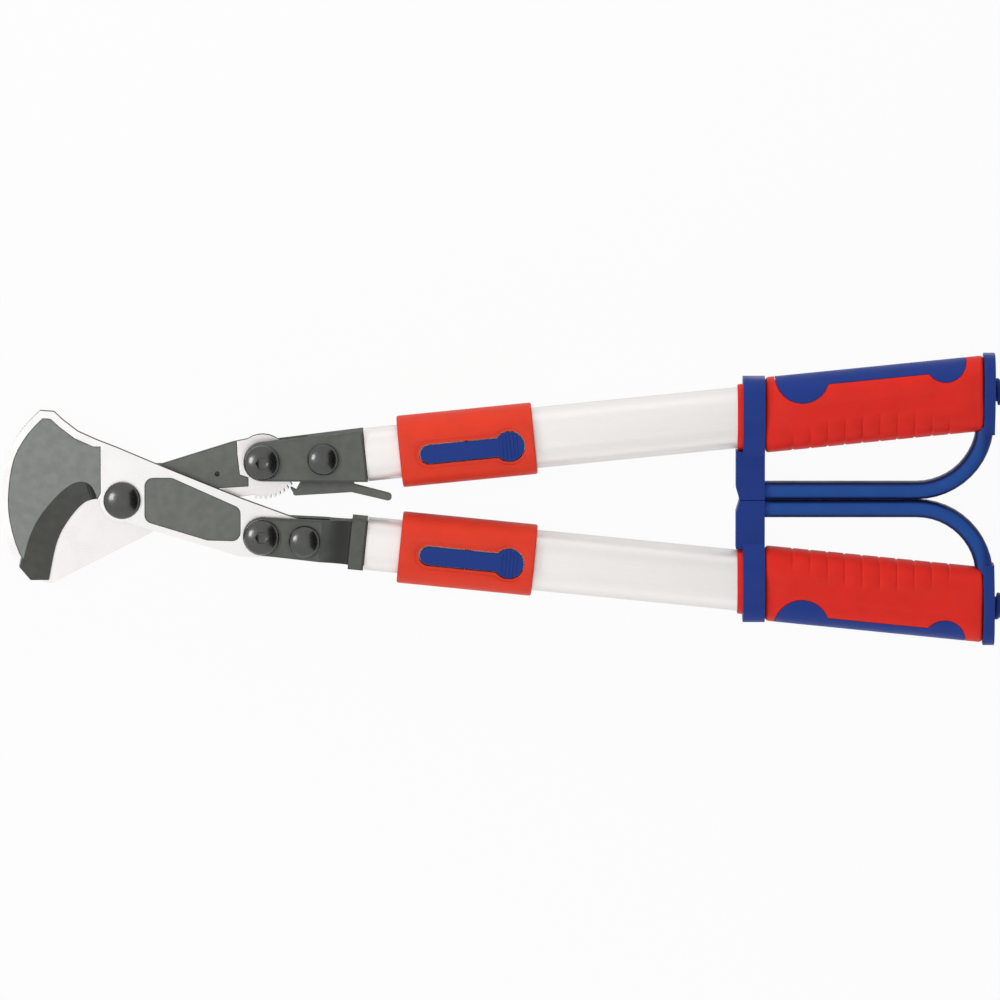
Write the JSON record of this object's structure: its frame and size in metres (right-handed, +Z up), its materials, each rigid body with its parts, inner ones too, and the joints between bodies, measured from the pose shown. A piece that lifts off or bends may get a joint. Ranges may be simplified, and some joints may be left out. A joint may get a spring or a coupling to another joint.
{
  "type": "ratchet cable cutter",
  "caption": "Two-handed ratchet cable cutter: hooked jaw, swinging blade with toothed eye, and telescopic tube handles with red grips, blue guards and rocker locks.",
  "frame": {"origin": "under the middle of the tool's box, on the ground plane it lies on", "axes": "+X from the jaws towards the ends of the handles, +Y towards the handle hinged on the blade, +Z up, out of the side the picture shows"},
  "size_m": [0.5726, 0.1672, 0.039],
  "materials": {
    "bright_steel": "ground, satin",
    "dark_steel": "dark grey, satin",
    "black_steel": "blackened, half gloss",
    "tube_aluminium": "clear anodised, satin",
    "red_plastic": "moulded, fine grain",
    "blue_plastic": "moulded, fine grain",
    "blue_rubber": "soft, matt",
    "grey_plastic": "moulded, matt"
  },
  "bodies": {
    "head": {"fixed_jaw": "bright_steel", "pivot_bolt": "black_steel", "pivot_washer": "bright_steel", "pivot_nut": "black_steel", "lower_fitting": "dark_steel", "lower_front_bolt": "black_steel", "lower_front_nut": "black_steel", "lower_rear_bolt": "black_steel", "lower_rear_nut": "black_steel", "lower_inner_tube": "tube_aluminium", "lower_tube_guide": "grey_plastic"},
    "blade": {"moving_blade": "bright_steel"},
    "upper_handle": {"upper_fitting": "dark_steel", "eye_bolt": "black_steel", "eye_nut": "black_steel", "pawl_bolt": "black_steel", "pawl_nut": "black_steel", "pawl_spring": "bright_steel", "upper_inner_tube": "tube_aluminium", "upper_tube_guide": "grey_plastic"},
    "pawl": {"pawl_lever": "dark_steel"},
    "lower_slide": {"lower_outer_tube": "tube_aluminium", "lower_lock_sleeve": "red_plastic", "lower_lock_hinge_pin": "bright_steel", "lower_lock_spring": "bright_steel", "lower_grip": "red_plastic", "lower_grip_inlay": "blue_rubber", "lower_hand_guard": "blue_plastic", "lower_end_cap": "blue_plastic"},
    "lower_lock": {"lower_lock_lever": "blue_plastic", "lower_lock_pin": "bright_steel"},
    "upper_slide": {"upper_outer_tube": "tube_aluminium", "upper_lock_sleeve": "red_plastic", "upper_lock_hinge_pin": "bright_steel", "upper_lock_spring": "bright_steel", "upper_grip": "red_plastic", "upper_grip_inlay": "blue_rubber", "upper_hand_guard": "blue_plastic", "upper_end_cap": "blue_plastic"},
    "upper_lock": {"upper_lock_lever": "blue_plastic", "upper_lock_pin": "bright_steel"}
  },
  "joints": [
    {"name": "blade_swing", "type": "hinge", "parent": "head", "child": "blade", "pos_m": [-0.21699, 0, 0.0195], "axis": [0, 0, 1], "range_deg": [0, 50]},
    {"name": "handle_ratchet", "type": "hinge", "parent": "blade", "child": "upper_handle", "pos_m": [-0.13684, 0.02204, 0.0195], "axis": [0, 0, 1], "range_deg": [0, 30]},
    {"name": "pawl_release", "type": "hinge", "parent": "upper_handle", "child": "pawl", "pos_m": [-0.10207, 0.02402, 0.0195], "axis": [0, 0, 1], "range_deg": [-2.5, 5.5], "stiffness_Nm_per_rad": 1.5, "deforming": ["pawl_spring"]},
    {"name": "lower_telescope", "type": "slide", "parent": "head", "child": "lower_slide", "axis": [0.995, -0.0997, 0], "range_m": [0, 0.2]},
    {"name": "lower_lock_press", "type": "hinge", "parent": "lower_slide", "child": "lower_lock", "pos_m": [-0.02056, -0.03299, 0.03465], "axis": [0.0997, 0.995, 0], "range_deg": [-5, 4], "stiffness_Nm_per_rad": 1.2, "deforming": ["lower_lock_spring"]},
    {"name": "upper_telescope", "type": "slide", "parent": "upper_handle", "child": "upper_slide", "axis": [0.995, 0.0997, 0], "range_m": [0, 0.2]},
    {"name": "upper_lock_press", "type": "hinge", "parent": "upper_slide", "child": "upper_lock", "pos_m": [-0.0202, 0.0294, 0.03465], "axis": [-0.0997, 0.995, 0], "range_deg": [-5, 4], "stiffness_Nm_per_rad": 1.2, "deforming": ["upper_lock_spring"]}
  ]
}
